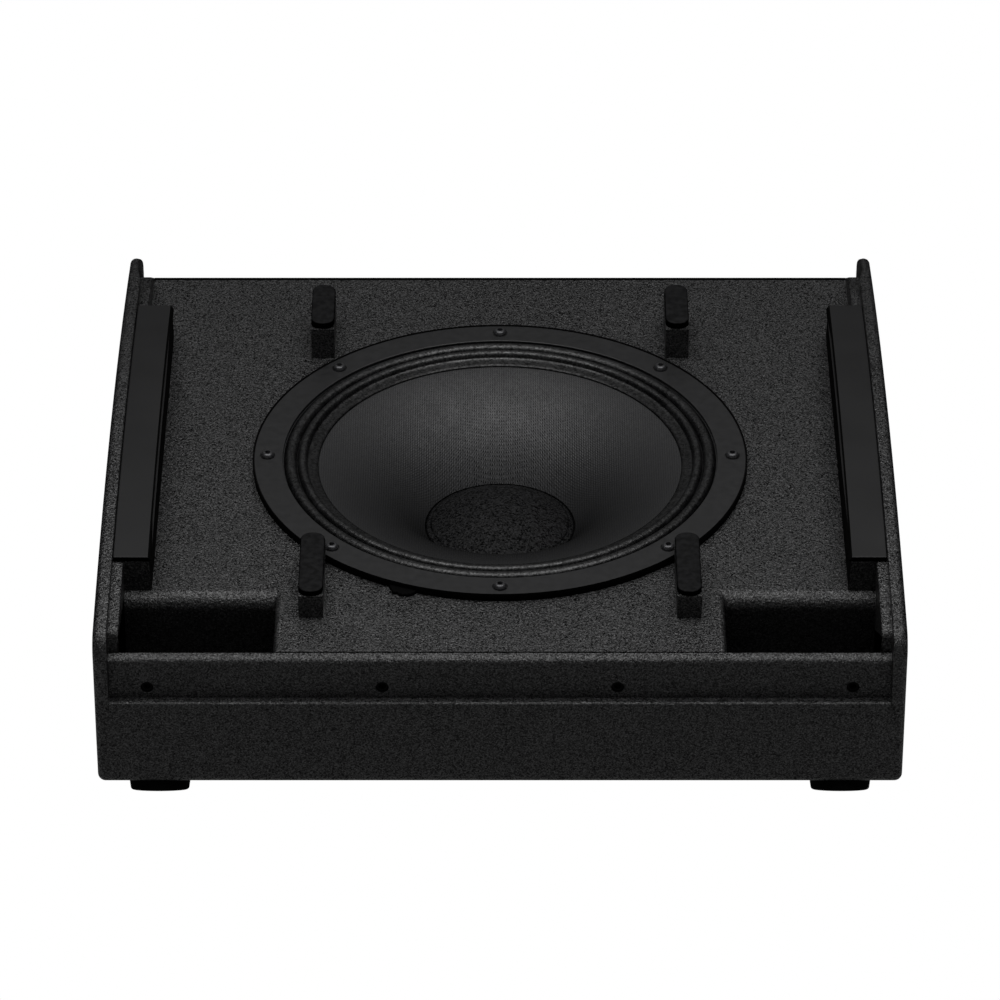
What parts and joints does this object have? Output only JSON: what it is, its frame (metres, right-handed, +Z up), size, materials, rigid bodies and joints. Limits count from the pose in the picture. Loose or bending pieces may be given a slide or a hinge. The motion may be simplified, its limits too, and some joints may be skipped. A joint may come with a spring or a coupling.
{
  "type": "stage monitor wedge",
  "caption": "Sloping floor loudspeaker in a painted plywood cabinet with a coaxial cone driver, corner reflex ports and raised side lips, shown with its grille off.",
  "frame": {"origin": "on the floor, midway between the cabinet's sides and midway between its frontmost and rearmost points", "axes": "+Z up, +Y towards the rear, +X towards the right as the listener in front sees it"},
  "size_m": [0.616, 0.5185, 0.416],
  "materials": {
    "painted_plywood": "black textured impact paint",
    "bare_plywood": "bare birch plywood",
    "strip_foam": "smooth closed-cell foam tape",
    "pad_foam": "worn closed-cell foam",
    "gasket": "black foam gasket",
    "frame_paint": "satin black powder coat",
    "black_screw": "black oxide",
    "zinc": "zinc plated",
    "surround_cloth": "coated pleated cloth",
    "cone_fibre": "coated woven fibre",
    "dome_cloth": "open acoustic cloth",
    "former": "amber film",
    "copper": "lacquered copper wire",
    "spider_cloth": "impregnated cloth",
    "motor_steel": "black passivated steel",
    "ferrite": "bare ferrite",
    "horn_plastic": "moulded black",
    "diaphragm": "thin foil",
    "threaded_insert": "plain",
    "board": "glass-fibre board",
    "nylon": "natural nylon",
    "capacitor_film": "yellow film wrap",
    "ceramic": "cement body",
    "wire": "red insulation",
    "plate_paint": "black powder coat",
    "socket_plastic": "moulded",
    "handle_plastic": "moulded black",
    "foot_rubber": "matt",
    "wadding": "polyester wadding"
  },
  "bodies": {
    "cabinet": {"side_panel_left": "painted_plywood", "side_panel_right": "painted_plywood", "baffle": "painted_plywood", "front_rail": "painted_plywood", "lower_front_panel": "painted_plywood", "bottom_panel": "painted_plywood", "top_panel": "painted_plywood", "rear_panel": "painted_plywood", "rear_lower_panel": "painted_plywood", "port_duct_left": "painted_plywood", "port_duct_right": "painted_plywood", "cross_brace": "bare_plywood", "grille_cleat_left": "painted_plywood", "grille_cleat_right": "painted_plywood", "grille_strip_left": "strip_foam", "grille_strip_right": "strip_foam", "post_blocks": "painted_plywood", "post_pads": "pad_foam", "grille_inserts": "threaded_insert", "baffle_gasket": "gasket", "driver_frame": "frame_paint", "front_ring": "frame_paint", "driver_screws": "black_screw", "tee_nuts": "zinc", "surround": "surround_cloth", "spider": "spider_cloth", "top_plate": "motor_steel", "magnet_ring": "ferrite", "yoke": "motor_steel", "hf_horn": "horn_plastic", "hf_pole_piece": "motor_steel", "hf_magnet": "ferrite", "hf_top_plate": "motor_steel", "hf_phase_plug": "horn_plastic", "hf_cover": "frame_paint", "driver_terminals": "socket_plastic", "crossover_board": "board", "crossover_standoffs": "nylon", "inductors": "copper", "capacitors": "capacitor_film", "resistors": "ceramic", "internal_wiring": "wire", "connector_plate": "plate_paint", "input_sockets": "socket_plastic", "connector_screws": "black_screw", "handle_cup_left": "handle_plastic", "handle_cup_right": "handle_plastic", "handle_bars": "handle_plastic", "handle_screws": "black_screw", "feet": "foot_rubber", "foot_screws": "zinc", "damping_lining": "wadding"},
    "cone_assembly": {"cone": "cone_fibre", "dust_dome": "dome_cloth", "coil_former": "former", "voice_coil": "copper"},
    "hf_assembly": {"hf_diaphragm": "diaphragm", "hf_coil": "copper"}
  },
  "joints": [
    {"name": "cone_travel", "type": "slide", "parent": "cabinet", "child": "cone_assembly", "axis": [0, -0.5299, 0.848], "range_m": [-0.008, 0.008], "stiffness_N_per_m": 3000, "deforming": ["surround", "spider"]},
    {"name": "hf_diaphragm_travel", "type": "slide", "parent": "cabinet", "child": "hf_assembly", "axis": [0, -0.5299, 0.848], "range_m": [-0.0004, 0.0004]}
  ]
}
